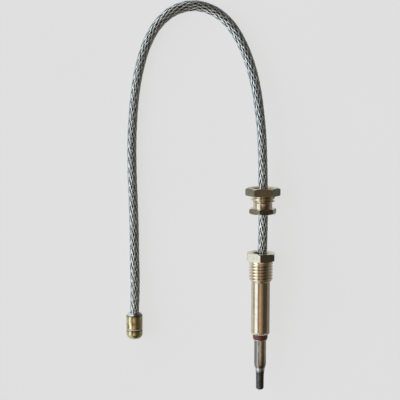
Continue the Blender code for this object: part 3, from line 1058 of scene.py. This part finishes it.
def braid_wire():
    """Tinned wire, bright on the crests of the weave, with painted shade where it dips and between its
    wires, over a liner whose near-black colour is painted shade in the braid's gaps.
    """
    paint = Paint("braid_wire", metallic=0.95)
    tone = paint.add("Attribute", attribute_name="tone").outputs["Fac"]
    grain = paint.noise(0.09, detail=2.0)
    patches = paint.noise(6.0, detail=3.0)
    # painted shade in the dips and grooves, below the dull tin
    dull = paint.mix(paint.spread(tone, 0.1, 0.5), PAINTED_SHADE_TIN, DULL_TIN)
    colour = paint.mix(paint.spread(tone, 0.45, 0.9), dull, BRIGHT_TIN)
    colour = paint.mix(paint.spread(patches, 0.45, 0.7, 0.0, 0.3), colour, TARNISHED_TIN)
    colour = paint.mix(paint.spread(tone, 0.9 * LINER_TONE, 0.1 * LINER_TONE), DARK_LINER, colour)
    rough = paint.spread(grain, 0.3, 0.8, 0.16, 0.3)
    return paint.use(base_color=colour, roughness=rough, normal=paint.bump(grain, 0.004))


def plain_wire(name, bright, dull):
    """Drawn wire, with streaks along it."""
    paint = Paint(name, metallic=1.0)
    streaks = paint.noise(0.15, (1, 20, 1), 2.0)
    colour = paint.mix(paint.spread(streaks, 0.35, 0.7), bright, dull)
    rough = paint.spread(streaks, 0.3, 0.8, 0.25, 0.4)
    return paint.use(base_color=colour, roughness=rough, normal=paint.bump(streaks, 0.004))


def pale_insulation(name, light, stained, relief):
    """Moulded or fired insulation with a fine grain and faint stains."""
    paint = Paint(name, metallic=0.0)
    stains = paint.noise(0.9, detail=4.0)
    grain = paint.noise(0.08, detail=2.0)
    colour = paint.mix(paint.spread(stains, 0.45, 0.75), light, stained)
    rough = paint.spread(grain, 0.3, 0.8, 0.5, 0.7)
    return paint.use(base_color=colour, roughness=rough, normal=paint.bump(grain, relief))


def paint_inner_nodes(nut_material, insulation):
    """The CAD nodes inside, which stay as they are, get finished materials."""
    copper = plain_wire("copper_wire", (0.85, 0.46, 0.30), (0.60, 0.30, 0.20))
    materials = {
        "inner_leg_wire": plain_wire("thermo_wire", (0.58, 0.54, 0.50), (0.38, 0.34, 0.30)),
        "ceramic_insulator": pale_insulation("ceramic", (0.85, 0.83, 0.78), (0.70, 0.66, 0.60), 0.02),
        "cold_junction_ferrule": copper,
        "insulating_sleeve": insulation,
        "braid_crimp_ferrule": nut_material,
        "core_wire_probe_end": copper,
        "insulating_bush": insulation,
        "core_wire_contact_end": copper,
    }
    for node, material in materials.items():
        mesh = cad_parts[node].data
        mesh.materials.clear()
        mesh.materials.append(material)


# ---------------------------------------------------------------- studio


# Light from the room at each angle from straight up, towards +X: a pale bench below, a cool
# window on the left, a warm ceiling and a dark wall on the right
STUDIO = [
    (-180, (0.66, 0.66, 0.66)),
    (-140, (0.76, 0.77, 0.78)),
    (-106, (0.78, 0.79, 0.80)),
    (-92, (0.53, 0.53, 0.53)),
    (-81, (0.58, 0.59, 0.60)),
    (-74, (1.45, 1.56, 1.70)),
    (-45, (1.45, 1.56, 1.70)),
    (-35, (0.36, 0.34, 0.32)),
    (-21, (0.38, 0.29, 0.23)),
    (-12, (1.02, 0.70, 0.49)),
    (0, (0.58, 0.40, 0.27)),
    (14, (0.40, 0.27, 0.185)),
    (27, (0.17, 0.125, 0.095)),
    (38, (0.078, 0.064, 0.048)),
    (78, (0.085, 0.075, 0.056)),
    (94, (0.27, 0.255, 0.23)),
    (140, (0.30, 0.29, 0.28)),
    (180, (0.66, 0.66, 0.66)),
]
# What is left of that light away from the lit part of the ceiling, at each angle
CEILING_SHADE = [
    (-180, (1.0, 1.0, 1.0)),
    (-40, (1.0, 1.0, 1.0)),
    (-25, (0.24, 0.30, 0.36)),
    (30, (0.24, 0.30, 0.36)),
    (60, (1.0, 1.0, 1.0)),
    (180, (1.0, 1.0, 1.0)),
]
# The lit part of the ceiling: the y of the direction to its middle, how far it reaches from there
# either way, and how far beyond that it fades
CEILING_Y = -0.36
CEILING_HALF = 0.12
CEILING_EDGE = 0.16

SOFTBOX_CENTRE = (-520.0, 40.0, 420.0)
SOFTBOX_WIDTH = 480.0
SOFTBOX_LENGTH = 900.0
SOFTBOX_RADIANCE = 0.8
SOFTBOX_COLOUR = (0.9, 0.97, 1.0)

FLOOR_HALF = 3000.0
FLOOR_TONE = 0.12
FLOOR_GLOW = 0.681
FLOOR_UNEVENNESS = 0.005
BACKDROP_RADIUS = 2900.0
BACKDROP_GLOW = 0.75
BACKDROP_UNEVENNESS = 0.01


def add_camera():
    tilt = math.radians(CAMERA_TILT)
    camera = add_object("camera", bpy.data.cameras.new("camera"))
    camera.data.lens = LENS
    camera.data.sensor_width = SENSOR_WIDTH
    camera.data.clip_start = NEAR_CLIP * MM
    x, y = CAMERA_TARGET
    camera.location = Vector((
        x,
        y + CAMERA_DISTANCE * math.sin(tilt),
        AXIS_Z + CAMERA_DISTANCE * math.cos(tilt),
    )) * MM
    camera.rotation_euler = (-tilt, 0, 0)
    bpy.context.scene.camera = camera


def colour_ramp(tree, turn, stops):
    """The colour at each turn from 0 to 1, which stand for -180 and 180 degrees in the stops."""
    ramp = add_node(tree, "ValToRGB", {"Fac": turn})
    elements = ramp.color_ramp.elements
    while len(elements) < len(stops):
        elements.new(0.5)
    for element, (angle, colour) in zip(elements, stops):
        element.position = (angle + 180) / 360
        element.color = (*colour, 1.0)
    return ramp.outputs["Color"]


def add_world():
    """The room that the metal reflects: STUDIO's light, and CEILING_SHADE beside the lit ceiling."""
    world = bpy.data.worlds.new("studio")
    bpy.context.scene.world = world
    world.use_nodes = True
    tree = world.node_tree
    direction = add_node(tree, "TexCoord").outputs["Generated"]
    part = add_node(tree, "SeparateXYZ", {0: direction}).outputs
    turn = add_node(tree, "Math", {0: part["X"], 1: part["Z"]}, operation="ARCTAN2").outputs[0]
    limits = {"From Min": -math.pi, "From Max": math.pi}
    turn = add_node(tree, "MapRange", {"Value": turn, **limits}).outputs["Result"]
    room = colour_ramp(tree, turn, STUDIO)
    shade = colour_ramp(tree, turn, CEILING_SHADE)
    beside = add_node(tree, "Math", {0: part["Y"], 1: CEILING_Y}, operation="SUBTRACT").outputs[0]
    beside = add_node(tree, "Math", {0: beside}, operation="ABSOLUTE").outputs[0]
    limits = {"From Min": CEILING_HALF, "From Max": CEILING_HALF + CEILING_EDGE}
    shaded = add_node(tree, "MapRange", {"Value": beside, **limits}).outputs["Result"]
    light = add_node(tree, "Mix", {0: shaded, 6: room, 7: shade}, data_type="RGBA",
                     blend_type="MULTIPLY")
    tree.links.new(light.outputs[2], tree.nodes["Background"].inputs["Color"])


def add_softbox():
    """A rectangular light that faces the middle of the view. Metal reflects STUDIO's window instead."""
    light = bpy.data.lights.new("left_softbox", "AREA")
    light.shape = "RECTANGLE"
    light.size = SOFTBOX_WIDTH * MM
    light.size_y = SOFTBOX_LENGTH * MM
    light.energy = SOFTBOX_RADIANCE * math.pi * light.size * light.size_y
    light.color = SOFTBOX_COLOUR
    box = add_object("left_softbox", light)
    box.location = Vector(SOFTBOX_CENTRE) * MM
    target = Vector((*CAMERA_TARGET, 0)) * MM
    box.rotation_euler = (target - box.location).to_track_quat("-Z", "Y").to_euler()
    box.visible_glossy = False
    box.visible_camera = False


def soft_grey(paint, size, tone, unevenness):
    """A grey that hardly varies, in blobs of about that size."""
    soft = paint.noise(size, detail=2.0)
    return paint.mix(soft, (tone - unevenness,) * 3, (tone + unevenness,) * 3)


def add_floor():
    """A pale floor with a glow of its own, which keeps the object's shadow faint."""
    mesh = bpy.data.meshes.new("studio_floor")
    half = FLOOR_HALF * MM
    corners = [(-half, -half, 0), (half, -half, 0), (half, half, 0), (-half, half, 0)]
    mesh.from_pydata(corners, [], [(0, 1, 2, 3)])
    floor = add_object("studio_floor", mesh)
    paint = Paint("pale_floor", metallic=0.0, roughness=1.0, emission_strength=1.0)
    paint.shader.inputs["Specular IOR Level"].default_value = 0.0
    colour = soft_grey(paint, 60.0, FLOOR_TONE, FLOOR_UNEVENNESS)
    glow = soft_grey(paint, 60.0, FLOOR_GLOW, FLOOR_UNEVENNESS)
    mesh.materials.append(paint.use(base_color=colour, emission_color=glow))
    floor.visible_glossy = False


def add_backdrop():
    """A pale dome that only the camera sees, behind the floor's edge."""
    mesh = bpy.data.meshes.new("studio_backdrop")
    shape = bmesh.new()
    bmesh.ops.create_icosphere(shape, subdivisions=4, radius=BACKDROP_RADIUS * MM)
    shape.to_mesh(mesh)
    shape.free()
    dome = add_object("studio_backdrop", mesh)
    paint = Paint("pale_backdrop", metallic=0.0, roughness=1.0, emission_strength=1.0)
    paint.shader.inputs["Base Color"].default_value = (0, 0, 0, 1)
    glow = soft_grey(paint, 400.0, BACKDROP_GLOW, BACKDROP_UNEVENNESS)
    mesh.materials.append(paint.use(emission_color=glow))
    dome.visible_glossy = False
    dome.visible_diffuse = False
    dome.visible_shadow = False


# ---------------------------------------------------------------- the whole


def make_probe():
    make_probe_body(body_brass())
    make_ring(oxidised_copper())
    make_braze(braze())
    make_tube(sheath_steel())
    make_tip(fired_alloy())


def make_contact(insulation):
    brass = contact_brass()
    return [
        make_solder(shaded_solder()),
        make_contact_sleeve(brass),
        make_washer(insulation),
        make_button(brass),
    ]


def make_object():
    """All the pieces, and materials for the CAD nodes that stay inside."""
    braid, line, length = make_braid()
    finish_piece(braid, braid_wire(), "lead_cable")
    make_probe()
    nut_material = union_brass()
    insulation = pale_insulation("insulation", (0.86, 0.82, 0.74), (0.66, 0.58, 0.46), 0.01)
    nuts = [make_union_nut(nut_material), make_lock_nut(lock_brass())]
    contact = make_contact(insulation)
    paint_inner_nodes(nut_material, insulation)


def add_studio():
    add_floor()
    add_backdrop()
    add_world()
    add_softbox()
    bpy.context.scene.view_settings.view_transform = "Standard"


add_camera()
make_object()
add_studio()
